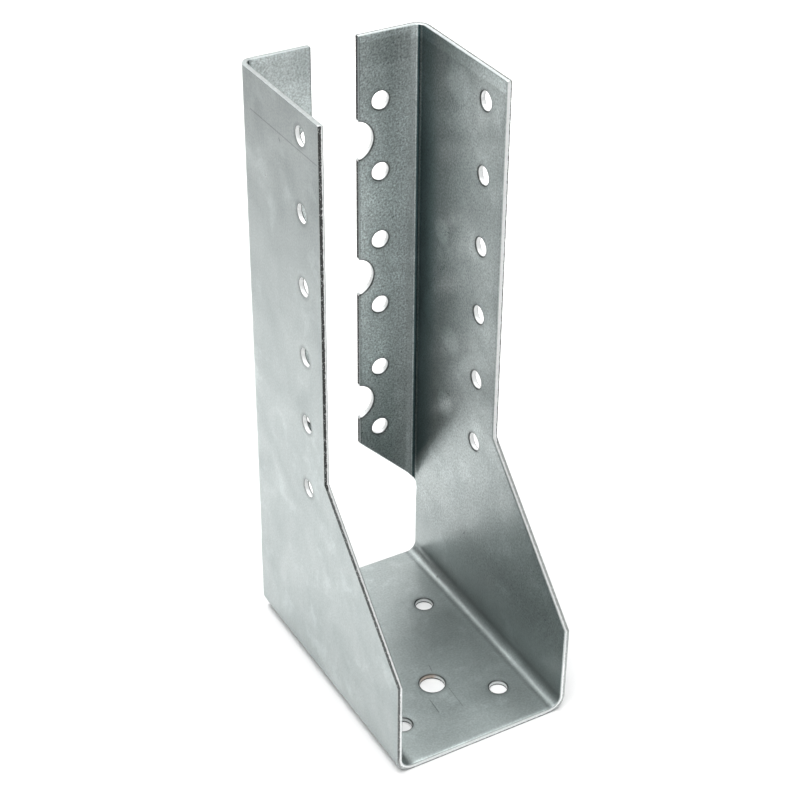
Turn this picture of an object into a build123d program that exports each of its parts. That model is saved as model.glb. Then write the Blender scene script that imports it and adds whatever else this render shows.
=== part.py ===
from build123d import *
import math
import os

# A face-fixed joist hanger, folded from one galvanised steel sheet: a seat, two side
# plates and a nailing flange turned inwards along the rear edge of each plate.
# Millimetres. Z is up, X runs across the joist, the joist comes in from -Y and the
# header stands against the flanges at +Y. Z = 0 is the underside of the seat.

# Sheet and its two kinds of fold
sheet = 1.5
seat_fold_radius = 3.0       # inside of the folds between the seat and the plates
flange_fold_radius = 2.0     # inside of the folds between the plates and the flanges

# Overall form
inside_width = 48.6          # clear width between the side plates
inside_height = 166.0        # from the top of the seat to the top ends
seat_depth = 80.0            # front edge of the seat to the header face
upper_depth = 41.8           # front edge of the plates' upper part to the header face
rear_setback = 2.4           # header face to the rear edge of the seat
flange_width = 19.3          # outside of a plate to the free edge of its flange

# Cut edges, as heights above the underside of the seat
knee_height = 66.8           # where the upright front edge turns into the slope
low_corner_height = 28.1     # where the slope ends, above the front of the seat
flange_end_height = 46.3     # lower end of a flange, at its free edge
flange_end_angle = 45.0      # between the flange's lower edge and the horizontal
relief_radius = 4.25         # where that edge turns down into the plate's rear edge
relief_ease = 4.0            # height over which the plate's edge comes out of the fold
flange_corner_radius = 0.4   # both ends of a flange's free edge
plate_corner_radius = 0.5    # low front corner and upper front corner of a plate

# Nail holes in the side plates and in the flanges
nail_hole = 5.0
nail_pitch = 20.0
nails_in_column = 6
side_column_setback = 9.0    # behind the upright front edge
side_first_hole = 7.4        # below the top end
flange_column_offset = 12.9  # inwards from the outside of the plate
flange_first_hole = 17.3     # below the top end

# Half-open bolt notches in the free edge of a flange
notch_radius = 5.5
notch_reach = 4.4            # depth of a notch, from the free edge
notch_count = 3
nails_per_notch = 2          # each notch stands between two nails of the column

# Holes in the seat
seat_bolt_hole = 7.0
seat_bolt_setback = 24.0     # behind the front edge
seat_nail_spread = 29.8      # between the two nails of a pair
seat_nail_front = 14.0       # front pair, behind the front edge
seat_nail_rear = 54.0        # rear pair, behind the front edge

# The blank lay this far off the middle of the folding tool. What was cut and punched
# in it stands higher on the left plate, lower on the right one, and left on the seat.
pattern_shift = 1.2

# Places that follow from the sizes
half_inside = inside_width / 2
half_outside = half_inside + sheet
top_z = sheet + inside_height
front_y = -seat_depth / 2
header_y = seat_depth / 2
rear_y = header_y - rear_setback
upper_front_y = header_y - upper_depth
seat_fold_x = half_inside - seat_fold_radius
seat_fold_top = sheet + seat_fold_radius
flange_fold_x = half_inside - flange_fold_radius
flange_fold_y = header_y - sheet - flange_fold_radius
flange_edge_x = half_outside - flange_width
mid_fold_radius = flange_fold_radius + sheet / 2
fold_length = mid_fold_radius * math.pi / 2
rear_reach = rear_y - flange_fold_y
end_slope = math.tan(math.radians(flange_end_angle))
relief_tangent = relief_radius * math.tan(math.radians(90 - flange_end_angle) / 2)
fold_overlap = sheet / 2     # how far a cutting surface runs past the sheet's faces
relief_steps = 24            # points along the relief's line, for its rolled-up copy


def fold_section(centre, radius, start_angle):
    """Section through a square fold: a quarter ring, one sheet thick."""
    return fold_sector(centre, radius, start_angle, 90)


def fold_sector(centre, radius, start_angle, turn):
    """Part of a fold's section that turns by the given angle."""
    with BuildSketch() as section:
        with BuildLine():
            inner = CenterArc(centre, radius, start_angle, turn)
            outer = CenterArc(centre, radius + sheet, start_angle, turn)
            Line(inner @ 0, outer @ 0)
            Line(inner @ 1, outer @ 1)
        make_face()
    return section.sketch


def column(place, first_height, pitch, count):
    """Points down a column, as (place, height) pairs."""
    return [(place, first_height - number * pitch) for number in range(count)]


def seat():
    """Flat seat between its two folds, with the bolt hole and the nail holes."""
    seat_length = rear_y - front_y
    with BuildPart() as panel:
        with BuildSketch():
            with Locations((0, (front_y + rear_y) / 2)):
                Rectangle(2 * seat_fold_x, seat_length)
            with Locations((-pattern_shift, front_y + seat_bolt_setback)):
                Circle(seat_bolt_hole / 2, mode=Mode.SUBTRACT)
            for setback in (seat_nail_front, seat_nail_rear):
                with Locations((-pattern_shift, front_y + setback)):
                    with GridLocations(seat_nail_spread, 0, 2, 1):
                        Circle(nail_hole / 2, mode=Mode.SUBTRACT)
        extrude(amount=sheet)
    return panel.part


def seat_fold():
    """Fold between the seat and the right-hand plate."""
    section = fold_section((seat_fold_x, seat_fold_top), seat_fold_radius, -90)
    return extrude(Plane.XZ.offset(-front_y) * section, amount=front_y - rear_y)


def side_plate(shift, relief_z):
    """Right-hand plate, flat between its folds, with its column of nail holes."""
    low_corner = (front_y, low_corner_height + shift)
    upper_corner = (upper_front_y, top_z)
    ease_z = relief_z - relief_ease
    outline = [
        (front_y, seat_fold_top),
        low_corner,
        (upper_front_y, knee_height + shift),
        upper_corner,
        (flange_fold_y, top_z),
        (flange_fold_y, ease_z),
        (rear_y, ease_z),
        (rear_y, seat_fold_top),
    ]
    hole_y = upper_front_y + side_column_setback
    first_hole = top_z - side_first_hole + shift
    with BuildPart() as panel:
        with BuildSketch(Plane.YZ.offset(half_inside)) as face:
            with BuildLine():
                Polyline(*outline, close=True)
            make_face()
            for corner in (low_corner, upper_corner):
                rounded = face.sketch_local.vertices().sort_by_distance(corner)[0]
                fillet(rounded, plate_corner_radius)
            with Locations(*column(hole_y, first_hole, nail_pitch, nails_in_column)):
                Circle(nail_hole / 2, mode=Mode.SUBTRACT)
        extrude(amount=sheet)
    return panel.part


def flange(shift):
    """Right-hand flange beyond its fold, with its nail holes and bolt notches."""
    free_end = (flange_edge_x, flange_end_height + shift)
    fold_end_z = flange_end_height + shift - (flange_fold_x - flange_edge_x) * end_slope
    top_corner = (flange_edge_x, top_z)
    outline = [free_end, (flange_fold_x, fold_end_z), (flange_fold_x, top_z), top_corner]
    hole_x = half_outside - flange_column_offset
    first_hole = top_z - flange_first_hole + shift
    notch_x = flange_edge_x + notch_reach - notch_radius
    first_notch = first_hole - (nails_per_notch - 1) * nail_pitch / 2
    notch_pitch = nails_per_notch * nail_pitch
    with BuildPart() as panel:
        with BuildSketch(Plane.XZ.offset(-header_y)) as face:
            with BuildLine():
                Polyline(*outline, close=True)
            make_face()
            for corner in (free_end, top_corner):
                rounded = face.sketch_local.vertices().sort_by_distance(corner)[0]
                fillet(rounded, flange_corner_radius)
            with Locations(*column(hole_x, first_hole, nail_pitch, nails_in_column)):
                Circle(nail_hole / 2, mode=Mode.SUBTRACT)
            with Locations(*column(notch_x, first_notch, notch_pitch, notch_count)):
                Circle(notch_radius, mode=Mode.SUBTRACT)
        extrude(amount=sheet)
    return panel.part


def rolled_up(point, radius):
    """Where a point of the flat blank comes to lie in the flange's fold."""
    turn = point.X / mid_fold_radius
    x = flange_fold_x + radius * math.cos(turn)
    y = flange_fold_y + radius * math.sin(turn)
    return Vector(x, y, point.Y)


def relief_cut(corner_z):
    """Cut edge through the fold: the blank's straight line and relief, rolled up."""
    below = (rear_reach, corner_z - relief_tangent - relief_ease)
    beyond_fold = fold_length
    beyond = (rear_reach + beyond_fold, corner_z + beyond_fold * end_slope)
    blank_line = FilletPolyline(below, (rear_reach, corner_z), beyond, radius=relief_radius)
    points = [blank_line @ (step / relief_steps) for step in range(relief_steps + 1)]
    inner = [rolled_up(point, flange_fold_radius - fold_overlap) for point in points]
    outer = [rolled_up(point, flange_fold_radius + sheet + fold_overlap) for point in points]
    return Face.make_surface_from_curves(Edge.make_spline(inner), Edge.make_spline(outer))


def flange_fold(relief_z, corner_z):
    """Fold between the plate and the flange, cut through along the flange's lower edge."""
    section = fold_section((flange_fold_x, flange_fold_y), flange_fold_radius, 0)
    whole = extrude(Plane.XY.offset(relief_z) * section, amount=top_z - relief_z)
    pieces = whole.solid().split(relief_cut(corner_z), keep=Keep.ALL)
    return Part(ShapeList(pieces).sort_by(Axis.Z)[-1].wrapped)


def rear_strip(relief_z):
    """Last strip of the plate, from the flat rear edge up into the start of the fold."""
    turn = math.degrees(rear_reach / mid_fold_radius)
    curved = fold_sector((flange_fold_x, flange_fold_y), flange_fold_radius, 0, turn)
    centre = (half_inside + sheet / 2, flange_fold_y + rear_reach / 2)
    flat = Pos(*centre) * Rectangle(sheet, rear_reach)
    lower = Plane.XY.offset(relief_z - relief_ease) * flat
    upper = Plane.XY.offset(relief_z) * curved
    return loft([lower, upper], ruled=True)


def right_wall(shift):
    """Right-hand plate with its folds and flange, its pattern moved up by the shift."""
    fold_end_z = flange_end_height + shift - (flange_fold_x - flange_edge_x) * end_slope
    corner_z = fold_end_z - (fold_length - rear_reach) * end_slope
    relief_z = corner_z - relief_tangent
    wall = seat_fold() + side_plate(shift, relief_z) + rear_strip(relief_z)
    return wall + flange_fold(relief_z, corner_z) + flange(shift)


def hanger():
    """The whole folded sheet as one solid."""
    left_wall = mirror(right_wall(pattern_shift), about=Plane.YZ)
    return seat() + right_wall(-pattern_shift) + left_wall


os.makedirs("parts", exist_ok=True)
folded = hanger()
export_step(folded, "parts/hanger.step")
print("solids", len(folded.solids()), "volume", round(folded.volume, 1))
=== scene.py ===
import math
from functools import reduce

import bmesh
import bpy
from mathutils import Matrix, Vector


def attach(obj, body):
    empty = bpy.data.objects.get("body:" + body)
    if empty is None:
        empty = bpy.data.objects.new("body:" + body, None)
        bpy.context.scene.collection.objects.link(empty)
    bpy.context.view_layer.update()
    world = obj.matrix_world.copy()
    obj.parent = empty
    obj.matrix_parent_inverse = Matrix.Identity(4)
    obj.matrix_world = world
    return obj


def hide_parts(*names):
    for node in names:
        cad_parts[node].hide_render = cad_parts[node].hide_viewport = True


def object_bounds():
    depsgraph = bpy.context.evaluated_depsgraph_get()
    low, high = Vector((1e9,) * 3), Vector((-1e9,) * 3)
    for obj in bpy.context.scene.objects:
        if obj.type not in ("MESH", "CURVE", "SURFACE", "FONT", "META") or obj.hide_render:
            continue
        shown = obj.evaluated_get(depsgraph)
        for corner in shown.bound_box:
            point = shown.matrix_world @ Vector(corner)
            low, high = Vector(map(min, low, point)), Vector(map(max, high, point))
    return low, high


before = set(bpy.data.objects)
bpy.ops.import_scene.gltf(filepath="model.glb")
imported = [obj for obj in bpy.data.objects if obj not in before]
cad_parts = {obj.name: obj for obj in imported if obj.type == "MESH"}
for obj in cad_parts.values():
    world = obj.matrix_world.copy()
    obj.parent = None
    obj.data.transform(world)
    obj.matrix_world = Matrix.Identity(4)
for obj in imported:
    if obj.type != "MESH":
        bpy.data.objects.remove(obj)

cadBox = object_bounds()  # the CAD model's box
millimetre = 0.001


class Wire:
    # One socket's value: an expression on wires adds its Math nodes
    def __init__(self, looks, socket):
        self.looks = looks
        self.socket = socket

    def math(self, operation, *values):
        return self.looks.node("ShaderNodeMath", {"operation": operation}, dict(enumerate(values)))

    def __add__(self, other):
        return self.math("ADD", self, other)

    def __radd__(self, other):
        return self.math("ADD", other, self)

    def __sub__(self, other):
        return self.math("SUBTRACT", self, other)

    def __rsub__(self, other):
        return self.math("SUBTRACT", other, self)

    def __mul__(self, other):
        return self.math("MULTIPLY", self, other)

    def __rmul__(self, other):
        return self.math("MULTIPLY", other, self)

    def __truediv__(self, other):
        return self.math("DIVIDE", self, other)

    def __pow__(self, other):
        return self.math("POWER", self, other)

    def __neg__(self):
        return self.math("MULTIPLY", self, -1.0)

    def __abs__(self):
        return self.math("ABSOLUTE", self)

    def atMost(self, other):
        return self.math("MINIMUM", self, other)

    def atLeast(self, other):
        return self.math("MAXIMUM", self, other)

    def rounded(self):
        return self.math("ROUND", self)

    def squareRoot(self):
        return self.math("SQRT", self)


class Looks:
    # A node tree, and the one way in which nodes are added to it
    def __init__(self, tree):
        self.tree = tree
        tree.nodes.clear()

    def node(self, kind, settings=None, values=None, out=0):
        made = self.tree.nodes.new(kind)
        for name, value in (settings or {}).items():
            setattr(made, name, value)
        for name, value in (values or {}).items():
            if isinstance(value, Wire):
                self.tree.links.new(value.socket, made.inputs[name])
            else:
                made.inputs[name].default_value = value
        return Wire(self, made.outputs[out]) if made.outputs else None

    def step(self, value, low, high, share=1.0):
        # 0 below low, share above high, smooth between
        return self.node("ShaderNodeMapRange", {"interpolation_type": "SMOOTHSTEP"},
                         {"Value": value, "From Min": low, "From Max": high, "To Max": share})

    def ramp(self, value, low, high, share=1.0):
        # 0 below low, share above high, straight between
        return self.node("ShaderNodeMapRange", {},
                         {"Value": value, "From Min": low, "From Max": high, "To Max": share})

    def band(self, value, low, high, fade, share=1.0):
        # Share between low and high, and 0 outside, fading over both ends
        risen = self.step(value, low - fade, low + fade, share)
        return risen * (1 - self.step(value, high - fade, high + fade))

    def mix(self, factor, first, second):
        return self.node("ShaderNodeMix", {"data_type": "RGBA"},
                         {"Factor": factor, 6: first, 7: second}, out=2)

    def noise(self, place, perMetre, detail=2.0, roughness=0.5, distortion=0.0):
        return self.node("ShaderNodeTexNoise", {},
                         {"Vector": place, "Scale": perMetre, "Detail": detail, "Roughness": roughness,
                          "Distortion": distortion})

    def moved(self, place, scale=(1.0, 1.0, 1.0), shift=(0.0, 0.0, 0.0)):
        return self.node("ShaderNodeMapping", {}, {"Vector": place, "Scale": scale, "Location": shift})


print("stage: folded sheet")

sheetForm = {
    "sheet": 1.5 * millimetre,
    "seatRear": 37.6 * millimetre,
    "seatFold": 3.0 * millimetre,  # inside radius between the seat and the plates
    "flangeFold": 2.0 * millimetre,  # inside radius between the plates and the flanges
    "noseRadius": 0.7 * millimetre,  # what the tool left inside the right flange's fold
    "openEnd": 2.5 * millimetre,  # over this height it opens to the fold's own radius at the top end
    "reliefHeight": 25.52 * millimetre,  # where the flange's lower edge has run out of the fold
    "reliefEase": 4.0 * millimetre,  # the plate's rear edge is flat this far below it
    "patternShift": 1.2 * millimetre,  # all that was cut stands lower on the right, higher on the left
    "mergeWithin": 0.001 * millimetre,
    "endWithin": 0.01 * millimetre,  # end faces lie this close to the hanger's ends
    "facing": 0.999,  # and point this straight out of them
    "flatWithin": math.radians(0.4),  # triangles this close to one plane become one face
    "sharpOver": math.radians(38),  # the folds turn less than this from face to face
    "rolledEdge": 0.30 * millimetre,  # inner edges, where the punch went in
    "burredEdge": 0.06 * millimetre,  # outer edges, where it came out
    "edgeSegments": 3,
    "foldSteps": 11,
    "flatWeight": 100,  # large flat faces keep their own shading
}


def foldMiddles():
    # Middles of the right-hand folds: x and z of the seat's, x and y of the flange's
    high = cadBox[1]
    seatInset = sheetForm["sheet"] + sheetForm["seatFold"]
    flangeInset = sheetForm["sheet"] + sheetForm["flangeFold"]
    return (high[0] - seatInset, seatInset), (high[0] - flangeInset, high[1] - flangeInset)


def foldedShare(point):
    # 0 where the plate ends flat below the flange, 1 where its rear edge has turned into the fold
    side = 1.0 if point.x >= 0 else -1.0
    above = point.z + side * sheetForm["patternShift"] - sheetForm["reliefHeight"]
    return min(max(above / sheetForm["reliefEase"] + 1, 0.0), 1.0)


def unrolled(point):
    # Where a point of the hanger lay on the flat blank: across, along, and up from the outer skin
    high = cadBox[1]
    sheet = sheetForm["sheet"]
    seatReach = sheetForm["seatFold"] + sheet / 2
    flangeReach = sheetForm["flangeFold"] + sheet / 2
    (seatX, seatZ), (flangeX, flangeY) = foldMiddles()
    side = 1.0 if point.x >= 0 else -1.0
    x, y, z = abs(point.x), point.y, point.z
    across = seatX + seatReach * math.pi / 2 + z - seatZ
    along = y
    up = high[0] - x
    if z < seatZ and x < seatX:
        across = x
        up = z
    elif z < seatZ:
        across = seatX + seatReach * math.atan2(x - seatX, seatZ - z)
        up = seatReach + sheet / 2 - math.hypot(x - seatX, seatZ - z)
    elif y > flangeY and x < flangeX:
        along = flangeY + flangeReach * math.pi / 2 + flangeX - x
        up = high[1] - y
    elif y > flangeY:
        folded = foldedShare(point)
        turned = flangeY + flangeReach * math.atan2(y - flangeY, x - flangeX)
        along = y + folded * (turned - y)
        up = up + folded * (flangeReach + sheet / 2 - math.hypot(x - flangeX, y - flangeY) - up)
    return side * across, along, min(max(up, 0.0), sheet)


def sharpEdges(shape, inner):
    # The cut edges of the inner or of the outer skin
    chosen = []
    for edge in shape.edges:
        if edge.calc_face_angle(0.0) < sheetForm["sharpOver"]:
            continue
        onInner = [unrolled(vertex.co)[2] > sheetForm["sheet"] / 2 for vertex in edge.verts]
        if onInner == [inner, inner]:
            chosen.append(edge)
    return chosen


def roundEdges(shape, inner, size):
    bmesh.ops.bevel(shape, geom=sharpEdges(shape, inner), offset=size, offset_type="OFFSET",
                    segments=sheetForm["edgeSegments"], profile=0.5, affect="EDGES", material=-1,
                    clamp_overlap=False)


def endFaces(shape, onTop):
    # The faces at the top ends, or those at the front and rear ends of the seat and its folds
    low, high = cadBox
    near, facing = sheetForm["endWithin"], sheetForm["facing"]
    ends = []
    for face in shape.faces:
        centre, normal = face.calc_center_median(), face.normal
        atTop = normal.z > facing and centre.z > high[2] - near
        atFront = abs(normal.y) > facing and centre.y < low[1] + near
        atRear = normal.y > facing and abs(centre.y - sheetForm["seatRear"]) < near
        wanted = atTop if onTop else atFront or atRear
        if wanted:
            ends.append(face)
    return ends


def cutThrough(shape, faces, middle, normal):
    parts = {part for face in faces for part in (face, *face.edges, *face.verts)}
    bmesh.ops.bisect_plane(shape, geom=list(parts), dist=sheetForm["mergeWithin"],
                           plane_co=middle, plane_no=normal)


def cutEndFaces(shape):
    # Radial cuts through the folds' end faces, so that the blank places run true across them
    (seatX, seatZ), (flangeX, flangeY) = foldMiddles()
    for side in (1.0, -1.0):
        for step in range(sheetForm["foldSteps"] + 1):
            turn = math.pi / 2 * step / sheetForm["foldSteps"]
            sine, cosine = math.sin(turn), math.cos(turn)
            topEnds = [face for face in endFaces(shape, True) if face.calc_center_median().x * side > 0]
            cutThrough(shape, topEnds, (side * flangeX, flangeY, 0.0), (-side * sine, cosine, 0.0))
            seatEnds = endFaces(shape, False)
            cutThrough(shape, seatEnds, (side * seatX, 0.0, seatZ), (side * sine, 0.0, cosine))


def addBlankPlaces(mesh):
    places = mesh.attributes.new("blank", "FLOAT_VECTOR", "POINT")
    places.data.foreach_set("vector", [value for vertex in mesh.vertices for value in unrolled(vertex.co)])


def nosedFold(turn):
    # Distance from the fold's middle to its inside, which the tool's nose left nearly square
    fold, nose = sheetForm["flangeFold"], sheetForm["noseRadius"]
    straight = fold - nose
    cosine, sine = math.cos(turn), math.sin(turn)
    if sine * fold < straight * cosine:
        return fold / cosine
    if cosine * fold < straight * sine:
        return fold / sine
    reach = straight * (cosine + sine)
    return reach + math.sqrt(reach * reach - 2 * straight * straight + nose * nose)


def sharpenFold(mesh):
    # Only the right fold was creased, and its top end sprang open again
    top = cadBox[1][2]
    flangeX, flangeY = foldMiddles()[1]
    for vertex in mesh.vertices:
        outward = Vector((vertex.co.x - flangeX, vertex.co.y - flangeY))
        if min(outward) <= 0:
            continue
        turn = math.atan2(outward.y, outward.x)
        share = foldedShare(vertex.co) * unrolled(vertex.co)[2] / sheetForm["sheet"]
        share = share * min((top - vertex.co.z) / sheetForm["openEnd"], 1.0)
        radius = outward.length + share * (nosedFold(turn) - sheetForm["flangeFold"])
        vertex.co.x = flangeX + radius * math.cos(turn)
        vertex.co.y = flangeY + radius * math.sin(turn)


def buildSheet():
    shape = bmesh.new()
    shape.from_mesh(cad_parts["hanger"].data)
    bmesh.ops.remove_doubles(shape, verts=shape.verts, dist=sheetForm["mergeWithin"])
    bmesh.ops.dissolve_limit(shape, angle_limit=sheetForm["flatWithin"], use_dissolve_boundaries=False,
                             verts=shape.verts, edges=shape.edges, delimit=set())
    bmesh.ops.recalc_face_normals(shape, faces=shape.faces)
    cutEndFaces(shape)
    roundEdges(shape, True, sheetForm["rolledEdge"])
    roundEdges(shape, False, sheetForm["burredEdge"])
    mesh = bpy.data.meshes.new("foldedSheet")
    shape.to_mesh(mesh)
    shape.free()
    mesh.shade_smooth()
    addBlankPlaces(mesh)
    sharpenFold(mesh)
    sheet = bpy.data.objects.new("foldedSheet", mesh)
    bpy.context.scene.collection.objects.link(sheet)
    flatter = sheet.modifiers.new("flatFaces", "WEIGHTED_NORMAL")
    flatter.weight = sheetForm["flatWeight"]
    flatter.keep_sharp = False
    return sheet


sheetPiece = buildSheet()

print("stage: galvanised finish")

# Places on the flat blank, in millimetres: across from the middle of the seat, along towards the
# flanges. A column of holes runs down from its first one.
blankPlaces = {
    "topEnd": 190.19,
    "freeEnd": 56.62,
    "nailPitch": 20.0,
    "nailRadius": 2.5,
    "holes": {
        "side": {"across": 182.79, "along": 7.2, "count": 6},
        "flange": {"across": 172.89, "along": 50.22, "count": 6},
        "frontSeat": {"across": 14.9, "along": -26.0, "count": 1},
        "rearSeat": {"across": 14.9, "along": 14.0, "count": 1},
        "bolt": {"across": 0.0, "along": -16.0, "count": 1, "radius": 3.5},
        "notches": {"across": 162.89, "along": 57.72, "count": 3, "radius": 5.5, "pitch": 40.0},
    },
    # Parts of the sheet: each fades in between two places
    "left": (24.0, 30.0),
    "wall": (34.0, 44.0),
    "seatEnd": (19.0, 24.0),  # here the seat fades out
    "seatFold": (20.5, 28.0, 1.5),  # low, high and fade
    "flange": (41.0, 42.5),
    "inner": (1.4, 1.5),  # up from the outer skin
}

zincFinish = {
    "colour": (0.450, 0.492, 0.486, 1.0),
    "cloudColour": (0.385, 0.427, 0.424, 1.0),
    "cloudsPerMetre": 55.0,
    "cloudShare": 1.2,
    "drawnPerMetre": (90.0, 420.0, 300.0),  # faint marks drawn out by the rolls
    "drawnShare": 0.5,
    "toneRange": (0.1, 0.9),
    "grainPerMetre": 1900.0,
    "grainDepth": 0.009,  # heights are in millimetres
    "grainOnSeat": 0.6,  # shares of the depth, where the grain is flatter
    "grainOnFold": 0.4,
    "wavesPerMetre": 32.0,
    "waves": 0.06,
    "roughness": (0.25, 0.44),
    "roughnessMix": (0.35, 0.65),  # shares of grain and clouds
    "roughnessRange": (0.30, 0.70),
    "rougherSeat": 0.06,
    "rougherFold": 0.12,
    # also the colour of the painted shade on the rolled rims
    "fractureAndRimShadeColour": (0.075, 0.078, 0.076, 1.0),
    "fractureRoughness": 0.62,
    "fracturePerMetre": 2600.0,
    "fractureDepth": 0.05,
    "burnishColour": (0.86, 0.875, 0.87, 1.0),
    "burnishRoughness": 0.38,
    "burnishMottle": (0.6, 0.8),
    "rustColour": (0.33, 0.20, 0.11, 1.0),
    "rustShare": 0.6,
    "rustRim": (-0.2, 0.3, 0.2),  # a spot on the rim of the bolt hole, in millimetres on the blank
    "rustAlong": (-13.5, -12.0, 0.6),
    "rustAcross": (3.0, 4.5),
    "scratchDepth": 0.02,
    "sunkRim": 0.03,  # the sheet dips this much beside a cut
}


def bySide(place, right, left):
    # A value on the right plate, and another on the left one
    return right + place["left"] * (left - right)


def fromHoles(shifted, along, holes):
    # Distance from the rims of a column of holes, along the sheet
    pitch = holes.get("pitch", blankPlaces["nailPitch"])
    aside = shifted - holes["across"]
    if holes["count"] > 1:
        number = (holes["across"] - shifted) / pitch
        nearest = number.rounded().atLeast(0.0).atMost(holes["count"] - 1.0)
        aside = (number - nearest) * pitch
    ahead = along - holes["along"]
    return (aside * aside + ahead * ahead).squareRoot() - holes.get("radius", blankPlaces["nailRadius"])


def fromRims(side, along):
    shifted = abs(side + sheetForm["patternShift"] / millimetre)
    distances = [fromHoles(shifted, along, holes) for holes in blankPlaces["holes"].values()]
    return reduce(Wire.atMost, distances)


def placesOnBlank(looks):
    # Wires for the place on the blank, in millimetres, and for the parts of the sheet
    blank = looks.node("ShaderNodeAttribute", {"attribute_name": "blank"}, out=1)
    side, along, up = [looks.node("ShaderNodeSeparateXYZ", {}, {"Vector": blank}, out=number) / millimetre
                       for number in range(3)]
    across = abs(side)
    left = looks.step(-side, *blankPlaces["left"])
    inner = looks.step(up, *blankPlaces["inner"])
    return {"blank": blank, "side": side, "across": across, "along": along, "up": up,
            "rim": fromRims(side, along), "left": left, "right": 1 - left, "inner": inner,
            "outer": 1 - inner, "wall": looks.step(across, *blankPlaces["wall"]),
            "seat": 1 - looks.step(across, *blankPlaces["seatEnd"]),
            "seatFold": looks.band(across, *blankPlaces["seatFold"]),
            "flange": looks.step(along, *blankPlaces["flange"])}


# Straight marks on the blank in millimetres: start, end, half width, darkness
scratches = {
    "acrossLeftPlate": ((-180.2, 33.6), (-180.1, -1.2), 0.16, 0.32),
    "seatShort": ((1.7, -9.2), (1.2, -11.7), 0.12, 0.4),
    "seatLeft": ((-5.1, -21.4), (-5.4, -26.6), 0.13, 0.4),
    "seatLong": ((1.8, -19.4), (1.4, -27.8), 0.10, 0.35),
    "leftPlateTick": ((-178.9, 18.3), (-178.1, 17.6), 0.22, 0.45),
    "rightPlateTick": ((47.6, 10.9), (48.9, 10.1), 0.22, 0.40),
    "seatFoldNick": ((23.1, 22.0), (23.8, 22.4), 0.28, 0.50),
    "flangePit": ((137.2, 46.3), (137.6, 46.6), 0.30, 0.55),
    "rightPlateSpot": ((47.0, -31.1), (47.4, -30.7), 0.30, 0.50),
}
scratchForm = {
    "endFade": 0.6,
    "core": 0.4,  # of the half width, full depth
    "skirt": 1.6,  # of the half width, faded out
}


def scratchMask(looks, place, mark):
    (startAcross, startAlong), (endAcross, endAlong), half, darkness = mark
    length = math.hypot(endAcross - startAcross, endAlong - startAlong)
    unitAcross = (endAcross - startAcross) / length
    unitAlong = (endAlong - startAlong) / length
    aside = place["side"] - startAcross
    ahead = place["along"] - startAlong
    run = aside * unitAcross + ahead * unitAlong
    off = abs(aside * unitAlong - ahead * unitAcross)
    fade = min(scratchForm["endFade"], length / 4)
    beside = looks.step(off, half * scratchForm["core"], half * scratchForm["skirt"])
    return looks.band(run, 0.0, length, fade) * (1 - beside) * darkness


def allScratches(looks, place):
    # On the left plate they are on the outside, elsewhere on the inside
    marks = reduce(Wire.atLeast, [scratchMask(looks, place, mark) for mark in scratches.values()])
    return marks * (place["left"] * place["outer"] + place["right"] * place["inner"])


# Cut faces, in millimetres on the blank and up from the outer skin, and shares from 0 to 1
cutWear = {
    "holeReach": (0.30, 0.45),  # from a hole's rim
    "edgeReach": 0.3,  # from the free edges and the top ends
    "front": (-3.2, -2.2),
    "starts": (0.02, 0.05),  # up from the outer skin
    "ends": (1.14, 1.28),
    # How far the broken metal reaches up, more on some edges
    "broken": 0.02,
    "brokenLeft": 0.58,
    "brokenLeftFront": -0.15,
    "brokenFront": 0.42,
    "brokenTop": 0.28,
    "brokenHole": 0.12,
    "brokenSeatHole": 0.24,
    "ragged": 0.5,
    "raggedPerMetre": 900.0,
    "fade": 0.04,
    # How much of it is wiped bright: right and left plate
    "brightTop": (0.25, 1.0),
    "brightFront": (0.58, 0.18),
    "flecksPerMetre": 2300.0,
    "fleckStretch": (1.0, 0.6, 1.6),
    "flecks": (0.60, 0.68, 0.55),
    # Painted shade: a dark rim where the sheet rolls into a hole
    "rolledUp": (1.16, 1.28),
    "rolledOuter": (-0.5, 0.0),
    "rolledInner": (0.25, 0.4),
    "rolledShare": 0.85,
    "halo": (0.2, 1.3),  # the skin's dark ring round a hole, from its rim
    # How dull the burnished metal is: right and left plate where there are two
    "dullTop": (0.56, 0.85),
    "dullFront": (0.08, 0.16),
    "dullSeatFront": 0.30,
    "dullSeatHoles": 0.45,
    "dullUpright": 0.35,
    "uprightEnds": (48.0, 51.0),
    # How much less it mirrors
    "duskHoles": 0.8,
    "duskFront": 0.4,
}


def brokenHeight(looks, place, faces):
    # How far the broken metal reaches up from the outer skin
    left = cutWear["brokenLeft"] + faces["front"] * cutWear["brokenLeftFront"]
    right = faces["wallFront"] * cutWear["brokenFront"] + faces["topEdge"] * cutWear["brokenTop"]
    ragged = looks.noise(place["blank"], cutWear["raggedPerMetre"], 3.0, 0.7) * cutWear["ragged"]
    sheared = cutWear["broken"] + place["left"] * left + place["right"] * right
    sheared = sheared + faces["freeEdge"] + ragged
    punched = cutWear["brokenHole"] + place["seat"] * cutWear["brokenSeatHole"]
    return looks.node("ShaderNodeMix", {}, {"Factor": faces["pierced"], 2: sheared, 3: punched})


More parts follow.
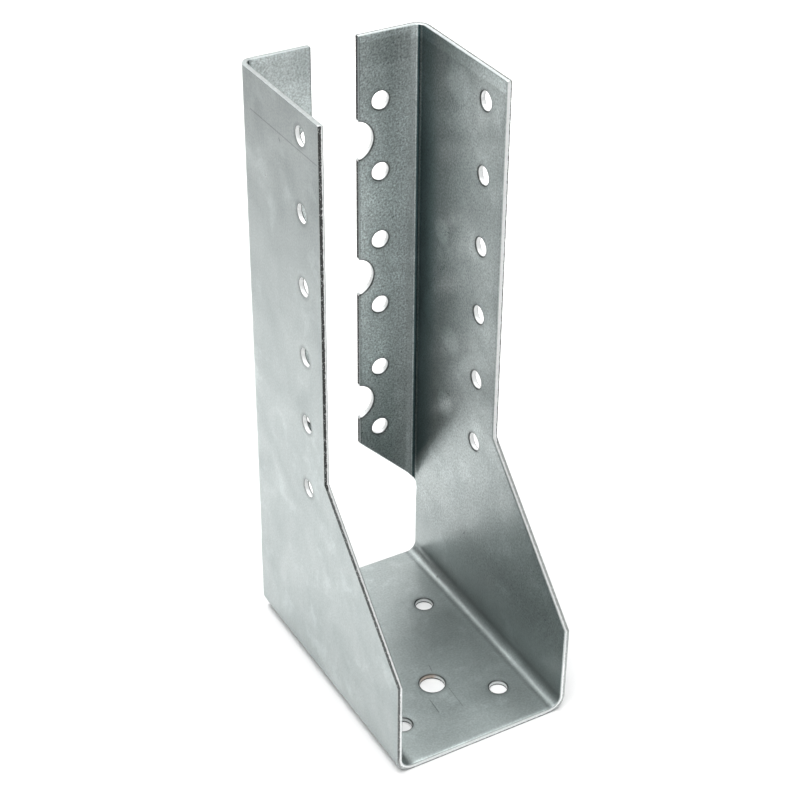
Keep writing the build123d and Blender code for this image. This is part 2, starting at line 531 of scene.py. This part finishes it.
def cutFaces(looks, place):
    # Cut faces: dark broken metal towards the outer skin, burnished towards the inner one; painted shade on
    # the rolled rims of holes
    up, rim, blank = place["up"], place["rim"], place["blank"]
    freeEnd, topEnd = blankPlaces["freeEnd"], blankPlaces["topEnd"]
    faces = {"pierced": 1 - looks.step(rim, *cutWear["holeReach"]),
             "freeEdge": looks.step(place["along"], freeEnd - cutWear["edgeReach"], freeEnd),
             "topEdge": looks.step(place["across"], topEnd - cutWear["edgeReach"], topEnd),
             "front": 1 - looks.step(place["along"], *cutWear["front"])}
    faces["wallFront"] = faces["front"] * (1 - place["seat"])
    cut = looks.step(up, *cutWear["starts"]) * (1 - looks.step(up, *cutWear["ends"]))
    over = up - brokenHeight(looks, place, faces)
    fracture = cut * (1 - looks.step(over, -cutWear["fade"], cutWear["fade"]))
    fracture = fracture * (1 - faces["topEdge"] * bySide(place, *cutWear["brightTop"]))
    fracture = fracture * (1 - faces["wallFront"] * bySide(place, *cutWear["brightFront"]))
    flecks = looks.noise(looks.moved(blank, cutWear["fleckStretch"]), cutWear["flecksPerMetre"], 1.0)
    fracture = fracture * (1 - looks.step(flecks, *cutWear["flecks"]))
    # Painted shade on the rolled rim of each hole
    rolled = looks.step(rim, *cutWear["rolledOuter"]) * (1 - looks.step(rim, *cutWear["rolledInner"]))
    rolled = rolled * faces["pierced"] * looks.step(up, *cutWear["rolledUp"])
    faces["fracture"] = fracture
    faces["burnish"] = cut * (1 - fracture)
    # dark broken metal, with the painted shade of the rolled rims
    faces["dark"] = fracture.atLeast(rolled * cutWear["rolledShare"])
    faces["halo"] = (1 - looks.step(rim, *cutWear["halo"])) * (1 - cut)
    return faces


def burnished(looks, place, faces, grain):
    # How bright the smooth cut metal is: mottled, duller at the top and front ends and in the seat
    inFront = bySide(place, *cutWear["dullFront"]) + place["seat"] * cutWear["dullSeatFront"]
    dullnessAndShade = (faces["topEdge"] * bySide(place, *cutWear["dullTop"])).atLeast(faces["front"] * inFront)
    dullnessAndShade = dullnessAndShade.atLeast(faces["pierced"] * place["seat"] * cutWear["dullSeatHoles"])
    upright = faces["front"] * place["wall"] * (1 - looks.step(place["across"], *cutWear["uprightEnds"]))
    dullnessAndShade = dullnessAndShade.atLeast(upright * cutWear["dullUpright"])
    ground, mottle = zincFinish["burnishMottle"]
    return (faces["burnish"] * (1 - dullnessAndShade) * (ground + grain * mottle)).atMost(1.0)


# Painted shade and painted light beside the flange's fold, and the gloss of the flange there, in millimetres
# on the blank: low, high, fade if any, and share
foldPaintedLightAndGloss = {
    "endSlope": 1.35,  # how steeply the painted shade ends above the flange's lower edge, along that edge's reflection in the plate
    "above": (103.5, 110.5),
    "paintedShadePlate": (2.0, 35.0, 0.60),  # painted shade: slowly over the plate, and more next to the fold
    "paintedShadeFold": (27.0, 35.0, 0.17),
    "lowShare": 0.92,  # a little less low down and at the top
    "fullOver": (88.0, 112.0, 0.08),
    "lessOver": (150.0, 180.0, 0.16),
    "lessInFold": (37.2, 38.3, 0.38),  # less in the fold, and none past its middle
    "ends": (39.25, 39.4),
    "bySide": (1.0, 0.6),  # right and left plate
    "below": 0.05,  # what is left of it below the flange
    "line": (38.4, 39.3, 0.25, 0.76),  # a painted dark line in the crease
    "paintedGlints": (39.4, 39.7, 0.1, 0.30),  # painted light breaking it here and there
    "glintsPerMetre": 420.0,
    "paintedFoldLight": (0.42, 0.60),
    # a second painted dark line, and painted light on the corner and on the flange beside it
    "secondLine": (39.8, 40.2, 0.2, 0.25),
    "brightCorner": (39.4, 41.6, 0.4, 0.20),
    "brightFlange": (42.0, 45.0, 1.5, 0.04),
    # Where the painted shade is darkest it is also bluer
    "tintFrom": (0.40, 0.90),
    "tint": (0.62, 0.92, 0.98, 1.0),
    # The flange beside the fold is rougher and mirrors less of the plate
    "dullStart": (39.2, 39.5),
    "dullEnd": (41.0, 47.0),
    "lessMirror": 0.45,
    "rougher": 0.2,
}


def paintedFoldShade(looks, place):
    # Painted shade on the plate beside the flange's fold, a painted dark line in its crease, and painted
    # light on the corner
    along, across = place["along"], place["across"]
    inside = place["wall"] * place["inner"]
    above = looks.step(across + along * foldPaintedLightAndGloss["endSlope"], *foldPaintedLightAndGloss["above"])
    paintedPlateShade = looks.ramp(along, *foldPaintedLightAndGloss["paintedShadePlate"]) + looks.step(along, *foldPaintedLightAndGloss["paintedShadeFold"])
    paintedPlateShade = paintedPlateShade * (foldPaintedLightAndGloss["lowShare"] + looks.step(across, *foldPaintedLightAndGloss["fullOver"]))
    paintedPlateShade = paintedPlateShade * (1 - looks.step(across, *foldPaintedLightAndGloss["lessOver"]))
    paintedPlateShade = paintedPlateShade * (1 - looks.step(along, *foldPaintedLightAndGloss["lessInFold"]))
    paintedPlateShade = paintedPlateShade * (1 - looks.step(along, *foldPaintedLightAndGloss["ends"]))
    paintedPlateShade = paintedPlateShade * above * bySide(place, *foldPaintedLightAndGloss["bySide"]) + (1 - above) * foldPaintedLightAndGloss["below"]
    paintedFoldLight = looks.step(looks.noise(place["blank"], foldPaintedLightAndGloss["glintsPerMetre"], 2.0), *foldPaintedLightAndGloss["paintedFoldLight"])
    line = looks.band(along, *foldPaintedLightAndGloss["line"]) - looks.band(along, *foldPaintedLightAndGloss["paintedGlints"]) * paintedFoldLight
    line = line + looks.band(along, *foldPaintedLightAndGloss["secondLine"])
    corner = looks.band(along, *foldPaintedLightAndGloss["brightCorner"]) + looks.band(along, *foldPaintedLightAndGloss["brightFlange"])
    return (1 - inside * paintedPlateShade) * (1 - inside * line) * (1 + inside * corner)


def besideFold(looks, place):
    # The flange's inner skin next to its fold
    ends = looks.ramp(place["along"], *foldPaintedLightAndGloss["dullEnd"])
    return place["inner"] * looks.step(place["along"], *foldPaintedLightAndGloss["dullStart"]) * (1 - ends)


# Painted highlight and painted shade on the fold between seat and plate, in millimetres on the blank: low,
# high, fade, share
seatFoldPaintedLight = {
    # painted highlight round the fold's middle, then painted shade on both sides
    "paintedHighlight": (23.6, 24.9, 0.6, 0.26),
    "shadeBySeat": (20.8, 22.6, 0.7, 0.36),
    "shadeByPlate": (25.9, 27.6, 0.7, 0.16),
    "plateFootShade": (28.0, 52.0, 6.0, 0.20),  # painted shade on the plate above the fold, in front of footEnds
    "footEnds": (6.0, 22.0),
}


def paintedSeatFoldLight(looks, place):
    # Painted shade on both sides of the fold and on the plate above it, a painted highlight round its middle
    across = place["across"]
    dullnessAndShade = looks.band(across, *seatFoldPaintedLight["shadeBySeat"]) + looks.band(across, *seatFoldPaintedLight["shadeByPlate"])
    foot = looks.band(across, *seatFoldPaintedLight["plateFootShade"])
    foot = foot * (1 - looks.step(place["along"], *seatFoldPaintedLight["footEnds"]))
    return 1 + place["inner"] * (looks.band(across, *seatFoldPaintedLight["paintedHighlight"]) - dullnessAndShade - foot)


# Lighter and darker bands of the top ends and of the flange, partly painted shade, in millimetres on the
# blank, and shares
topBandsAndShade = {
    "raggedPerMetre": 160.0,
    "ragged": 3.0,
    "raggedBrim": 0.4,
    "plateBrim": (186.4, 187.2),
    "flangeBrim": (188.0, 188.6),
    "brim": (0.32, 0.08),  # right and left plate
    "cloud": (181.5, 189.5, 1.0, 0.12),
    "dullTop": (164.0, 178.0, 0.18),  # painted shade, darker towards the top of the right flange
    "darkerFoot": 0.38,  # darker at the lower end of both flanges
    "footEnds": (55.0, 110.0),
}


def topShade(looks, place):
    # Lighter brims along the top ends of the inner skin, a darker cloud below them on the flange, painted
    # shade higher up the right flange, and darker lower ends of both flanges
    across = place["across"]
    onFlange = place["flange"] * place["inner"]
    ragged = (looks.noise(place["blank"], topBandsAndShade["raggedPerMetre"], 3.0, 0.6) - 0.5) * topBandsAndShade["ragged"]
    height = across + ragged * topBandsAndShade["raggedBrim"]
    brim = looks.step(height, *topBandsAndShade["plateBrim"]) * (1 - onFlange)
    brim = brim + looks.step(height, *topBandsAndShade["flangeBrim"]) * onFlange
    dullnessAndShade = looks.band(across + ragged, *topBandsAndShade["cloud"])
    dullnessAndShade = dullnessAndShade + looks.step(across, *topBandsAndShade["dullTop"]) * place["right"]
    dullnessAndShade = dullnessAndShade + (1 - looks.step(across, *topBandsAndShade["footEnds"])) * topBandsAndShade["darkerFoot"]
    return (1 + place["inner"] * brim * bySide(place, *topBandsAndShade["brim"])) * (1 - onFlange * dullnessAndShade)


# Pits, streaks and smudges: how dense, and thresholds of the noise with the share of shade
smallMarks = {
    "pitsPerMetre": 760.0,
    "pitShift": (3.0, 1.0, 2.0),
    "pits": (0.84, 0.90, 0.2),
    "streaksPerMetre": (150.0, 820.0, 300.0),
    "streaks": (0.60, 0.74, 0.07),
    "streaksEnd": (70.0, 110.0),
    # Lighter smudges inside the right plate: along, across and reach on the blank, in millimetres
    "smudges": [(22.4, 85.0, 4.5), (20.5, 106.5, 5.0), (19.5, 181.5, 6.0), (26.0, 137.0, 4.0)],
    "smudgesPerMetre": 260.0,
    "smudgeRagged": 0.9,
    "smudgeFade": (0.2, 1.1),
    "smudgeShare": 0.32,
}


def smudgeShade(looks, place):
    # Round smudges with ragged rims
    inside = place["wall"] * place["inner"] * place["right"]
    ragged = looks.noise(place["blank"], smallMarks["smudgesPerMetre"], 3.0, 0.6)
    ragged = (ragged - 0.5) * smallMarks["smudgeRagged"]
    shade = 1.0
    for along, across, reach in smallMarks["smudges"]:
        far = ((place["along"] - along) ** 2 + (place["across"] - across) ** 2) / (reach * reach)
        outside = looks.step(far + ragged, *smallMarks["smudgeFade"])
        shade = shade * (1 + inside * (1 - outside) * smallMarks["smudgeShare"])
    return shade


def markShade(looks, place):
    # Pits, and short steep streaks low on the outside of the left plate
    pits = looks.moved(place["blank"], shift=smallMarks["pitShift"])
    pits = looks.step(looks.noise(pits, smallMarks["pitsPerMetre"], 1.0), *smallMarks["pits"])
    pits = pits * (1 - place["flange"])
    streaks = looks.noise(looks.moved(place["blank"], smallMarks["streaksPerMetre"]), 1.0, 2.0)
    low = 1 - looks.step(place["across"], *smallMarks["streaksEnd"])
    streaks = looks.step(streaks, *smallMarks["streaks"]) * low * place["left"] * place["outer"]
    return (1 - pits) * (1 - streaks) * smudgeShade(looks, place)


# Lighter and darker parts of the two skins, several of them painted light and painted shade, in millimetres
# on the blank, and shares
skinTones = {
    "speckle": 0.7,
    "speckleWall": 0.9,
    "speckleFlange": 0.6,
    "patchesPerMetre": 115.0,
    "patchShift": (0.4, 0.7, 0.1),
    "patches": (0.52, 0.70, 0.16),
    "patchGround": 0.97,
    "besideCuts": 0.25,  # darker ring round each hole
    "freeRim": (56.02, 56.32, 0.4),  # painted shade: a darker line along the flange's free edge, where a burr would shade it
    "leftRise": (80.0, 190.0, 0.25),  # painted shade: darker upwards on the outside of the left plate
    # painted shade: a little darker over the whole outside of the left plate
    "leftOutside": 0.02,
    "frontBrim": (-39.9, -38.7),  # lighter line along the seat's front edge
    "frontBrimShare": 0.4,
    "seat": 0.08,  # painted light: a lighter seat
    "seatRear": (5.0, 30.0, 0.12),  # painted shade: darker towards its rear
    "flange": (0.34, 0.28),  # painted light: lighter flanges, right and left
}


def skinShade(looks, place, faces, grain):
    # Speckles, patches and rims, painted shade on the flange's free edge and on the left plate, and painted
    # light and shade on whole parts
    inner, seat, flange, along = place["inner"], place["seat"], place["flange"], place["along"]
    coarse = place["wall"] * skinTones["speckleWall"] + flange * place["right"] * skinTones["speckleFlange"]
    speckle = (grain - 0.5) * (skinTones["speckle"] + inner * coarse)
    patches = looks.moved(place["blank"], shift=skinTones["patchShift"])
    patches = looks.noise(patches, skinTones["patchesPerMetre"], 3.0, 0.6)
    patches = skinTones["patchGround"] + looks.step(patches, *skinTones["patches"])
    # Painted shade along the flange's free edge, and the darker ring round each hole
    rims = flange * inner * looks.step(along, *skinTones["freeRim"])
    rims = (1 - faces["halo"] * skinTones["besideCuts"]) * (1 - rims)
    # Painted shade on the outside of the left plate, more so upwards
    outside = place["left"] * place["outer"]
    onLeft = 1 - looks.step(place["across"], *skinTones["leftRise"]) * outside
    onLeft = onLeft * (1 - outside * skinTones["leftOutside"])
    brim = seat * inner * (1 - looks.step(along, *skinTones["frontBrim"]))
    # Painted light on the seat, painted shade towards its rear
    onSeat = (1 + brim * skinTones["frontBrimShare"]) * (1 + seat * inner * skinTones["seat"])
    onSeat = onSeat * (1 - seat * looks.step(along, *skinTones["seatRear"]))
    # Painted light on the inner skin of the flanges
    onFlange = 1 + flange * inner * bySide(place, *skinTones["flange"])
    return (1 + speckle) * patches * rims * onLeft * onSeat * onFlange


def zincColour(looks, place, faces, marks, grain, clouds):
    drawn = looks.noise(looks.moved(place["blank"], zincFinish["drawnPerMetre"]), 1.0, 3.0, 0.6)
    tone = (clouds - 0.5) * zincFinish["cloudShare"] + (drawn - 0.5) * zincFinish["drawnShare"] + 0.5
    tone = looks.step(tone, *zincFinish["toneRange"])
    colour = looks.mix(tone, zincFinish["colour"], zincFinish["cloudColour"])
    # Painted shade and painted light beside the flange's fold and on the seat's fold
    paintedFoldLight = paintedFoldShade(looks, place)
    shade = skinShade(looks, place, faces, grain) * (1 - marks) * markShade(looks, place)
    shade = shade * paintedFoldLight * topShade(looks, place) * paintedSeatFoldLight(looks, place)
    colour = looks.node("ShaderNodeVectorMath", {"operation": "SCALE"}, {0: colour, "Scale": shade})
    # The painted shade by the flange's fold turns bluer where darkest
    tint = looks.mix(looks.step(1 - paintedFoldLight, *foldPaintedLightAndGloss["tintFrom"]), (1.0, 1.0, 1.0, 1.0), foldPaintedLightAndGloss["tint"])
    colour = looks.node("ShaderNodeVectorMath", {"operation": "MULTIPLY"}, {0: colour, 1: tint})
    colour = looks.mix(burnished(looks, place, faces, grain), colour, zincFinish["burnishColour"])
    rust = looks.band(place["rim"], *zincFinish["rustRim"]) * place["seat"]
    rust = rust * looks.band(place["along"], *zincFinish["rustAlong"])
    rust = rust * (1 - looks.step(place["across"], *zincFinish["rustAcross"]))
    colour = looks.mix(rust * zincFinish["rustShare"], colour, zincFinish["rustColour"])
    # Broken metal and the painted shade of the rolled rims take one dark colour
    return looks.mix(faces["dark"], colour, zincFinish["fractureAndRimShadeColour"])


def zincRoughness(looks, place, faces, grain, clouds):
    smooth, rough = zincFinish["roughness"]
    grainShare, cloudShare = zincFinish["roughnessMix"]
    mottle = looks.ramp(grain * grainShare + clouds * cloudShare, *zincFinish["roughnessRange"])
    skin = smooth + mottle * (rough - smooth)
    skin = skin + place["seat"] * zincFinish["rougherSeat"] + place["seatFold"] * zincFinish["rougherFold"]
    skin = skin * (1 - faces["burnish"]) + faces["burnish"] * zincFinish["burnishRoughness"]
    skin = skin * (1 - faces["fracture"]) + faces["fracture"] * zincFinish["fractureRoughness"]
    return skin + besideFold(looks, place) * foldPaintedLightAndGloss["rougher"]


def zincMetallic(looks, place, faces):
    dusk = faces["pierced"] * cutWear["duskHoles"] + faces["front"] * place["wall"] * cutWear["duskFront"]
    return 1 - faces["burnish"] * dusk - besideFold(looks, place) * foldPaintedLightAndGloss["lessMirror"]


def zincBump(looks, place, faces, marks, grain):
    blank = place["blank"]
    onSeat = 1 - place["seat"] * (1 - zincFinish["grainOnSeat"])
    onFold = 1 - place["seatFold"] * (1 - zincFinish["grainOnFold"])
    height = grain * zincFinish["grainDepth"] * onSeat * onFold
    height = height + looks.noise(blank, zincFinish["wavesPerMetre"], 1.0) * zincFinish["waves"]
    height = height - faces["halo"] * zincFinish["sunkRim"] - marks * zincFinish["scratchDepth"]
    torn = looks.noise(blank, zincFinish["fracturePerMetre"], 2.0, 0.7) * zincFinish["fractureDepth"]
    height = height + faces["fracture"] * torn
    return looks.node("ShaderNodeBump", {}, {"Strength": 1.0, "Distance": millimetre, "Height": height})


def galvanisedZinc():
    material = bpy.data.materials.new("galvanisedZinc")
    material.use_nodes = True
    looks = Looks(material.node_tree)
    place = placesOnBlank(looks)
    faces = cutFaces(looks, place)
    marks = allScratches(looks, place)
    clouds = looks.noise(place["blank"], zincFinish["cloudsPerMetre"], 4.0, 0.6, 0.6)
    grain = looks.noise(place["blank"], zincFinish["grainPerMetre"], 2.0, 0.6)
    surface = looks.node("ShaderNodeBsdfPrincipled", {},
                         {"Base Color": zincColour(looks, place, faces, marks, grain, clouds),
                          "Metallic": zincMetallic(looks, place, faces),
                          "Roughness": zincRoughness(looks, place, faces, grain, clouds),
                          "Normal": zincBump(looks, place, faces, marks, grain)})
    looks.node("ShaderNodeOutputMaterial", {}, {"Surface": surface})
    return material


sheetPiece.data.materials.append(galvanisedZinc())
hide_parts("hanger")
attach(sheetPiece, "root")

print("stage: floor and light")

roomSettings = {
    "floorReach": 3.0,
    "floorColour": (0.89, 0.89, 0.89, 1.0),
    "floorRoughness": 0.9,
    "floorShine": 0.0,
    "base": 0.05,  # light from everywhere in the room
    # Round soft lamps: place, place they point at, width, power and spread in degrees
    "lamps": {
        "overhead": ((0.0, 0.0, 0.65), (0.0, 0.0, 0.0), 0.7, 3.8, 180.0),
        "behind": ((0.0, 0.35, 0.6), (0.0, 0.0, 0.0), 0.6, 2.4, 180.0),
        "frontLeft": ((-0.3, -0.35, 0.55), (0.0, 0.0, 0.0), 0.6, 1.7, 180.0),
        "aboveLeft": ((-0.3, 0.0, 0.6), (0.0, 0.0, 0.0), 0.6, 1.05, 180.0),
        "farFloor": ((0.32, 0.55, 0.6), (0.32, 0.55, 0.0), 0.5, 1.6, 60.0),
    },
    # Soft glows of the room: azimuth from the right towards the back, elevation, strength
    "glows": {
        "backRight": (60.0, 18.0, 0.65),
        "frontRight": (300.0, 18.0, 0.72),
        "backLeft": (120.0, 18.0, 0.06),
    },
    "glowSpread": 6.0,
}


def buildFloor():
    shape = bmesh.new()
    bmesh.ops.create_grid(shape, x_segments=1, y_segments=1, size=roomSettings["floorReach"])
    mesh = bpy.data.meshes.new("floor")
    shape.to_mesh(mesh)
    shape.free()
    material = bpy.data.materials.new("palePaper")
    material.use_nodes = True
    looks = Looks(material.node_tree)
    surface = looks.node("ShaderNodeBsdfPrincipled", {},
                         {"Base Color": roomSettings["floorColour"],
                          "Roughness": roomSettings["floorRoughness"],
                          "Specular IOR Level": roomSettings["floorShine"]})
    looks.node("ShaderNodeOutputMaterial", {}, {"Surface": surface})
    mesh.materials.append(material)
    floor = bpy.data.objects.new("floor", mesh)
    bpy.context.scene.collection.objects.link(floor)


def glow(looks, direction, azimuth, elevation, strength):
    azimuth, elevation = math.radians(azimuth), math.radians(elevation)
    axis = (math.cos(azimuth) * math.cos(elevation), math.sin(azimuth) * math.cos(elevation),
            math.sin(elevation))
    facing = looks.node("ShaderNodeVectorMath", {"operation": "DOT_PRODUCT"}, {0: direction, 1: axis}, out=1)
    return facing.atLeast(0.0) ** roomSettings["glowSpread"] * strength


def buildRoom():
    world = bpy.data.worlds.new("paleRoom")
    world.use_nodes = True
    bpy.context.scene.world = world
    looks = Looks(world.node_tree)
    direction = looks.node("ShaderNodeTexCoord")
    strength = roomSettings["base"]
    for settings in roomSettings["glows"].values():
        strength = strength + glow(looks, direction, *settings)
    light = looks.node("ShaderNodeBackground", {}, {"Color": (1.0, 1.0, 1.0, 1.0), "Strength": strength})
    looks.node("ShaderNodeOutputWorld", {}, {"Surface": light})


def buildLamp(name, place, aim, width, power, spread):
    lamp = bpy.data.lights.new(name, "AREA")
    lamp.shape = "DISK"
    lamp.size = width
    lamp.energy = power
    lamp.spread = math.radians(spread)
    holder = bpy.data.objects.new(name, lamp)
    bpy.context.scene.collection.objects.link(holder)
    turn = (Vector(aim) - Vector(place)).to_track_quat("-Z", "Y").to_matrix().to_4x4()
    holder.matrix_world = Matrix.Translation(place) @ turn


buildFloor()
buildRoom()
for name, settings in roomSettings["lamps"].items():
    buildLamp(name, *settings)

print("stage: camera")

cameraSettings = {
    "eye": (-0.200467, -0.343152, 0.350380),
    "azimuth": math.radians(-29.932),  # of the eye, from straight in front, towards the right
    "elevation": math.radians(33.781),
    "roll": math.radians(0.492),
    "focalShare": 1880.62 / 800.0,  # focal length over the picture's width
    "sensor": 36.0,
    "nearest": 0.01,
}


def buildCamera():
    azimuth = cameraSettings["azimuth"]
    elevation = cameraSettings["elevation"]
    roll = cameraSettings["roll"]
    back = Vector((math.sin(azimuth) * math.cos(elevation), -math.cos(azimuth) * math.cos(elevation),
                   math.sin(elevation)))
    level = Vector((math.cos(azimuth), math.sin(azimuth), 0.0))
    upright = back.cross(level)
    right = math.cos(roll) * level + math.sin(roll) * upright
    up = math.cos(roll) * upright - math.sin(roll) * level
    camera = bpy.data.cameras.new("camera")
    camera.sensor_width = cameraSettings["sensor"]
    camera.sensor_fit = "HORIZONTAL"
    camera.lens = cameraSettings["focalShare"] * cameraSettings["sensor"]
    camera.clip_start = cameraSettings["nearest"]
    holder = bpy.data.objects.new("camera", camera)
    bpy.context.scene.collection.objects.link(holder)
    turn = Matrix((right, up, back)).transposed().to_4x4()
    holder.matrix_world = Matrix.Translation(cameraSettings["eye"]) @ turn
    bpy.context.scene.camera = holder


buildCamera()
bpy.context.scene.view_settings.view_transform = "Standard"
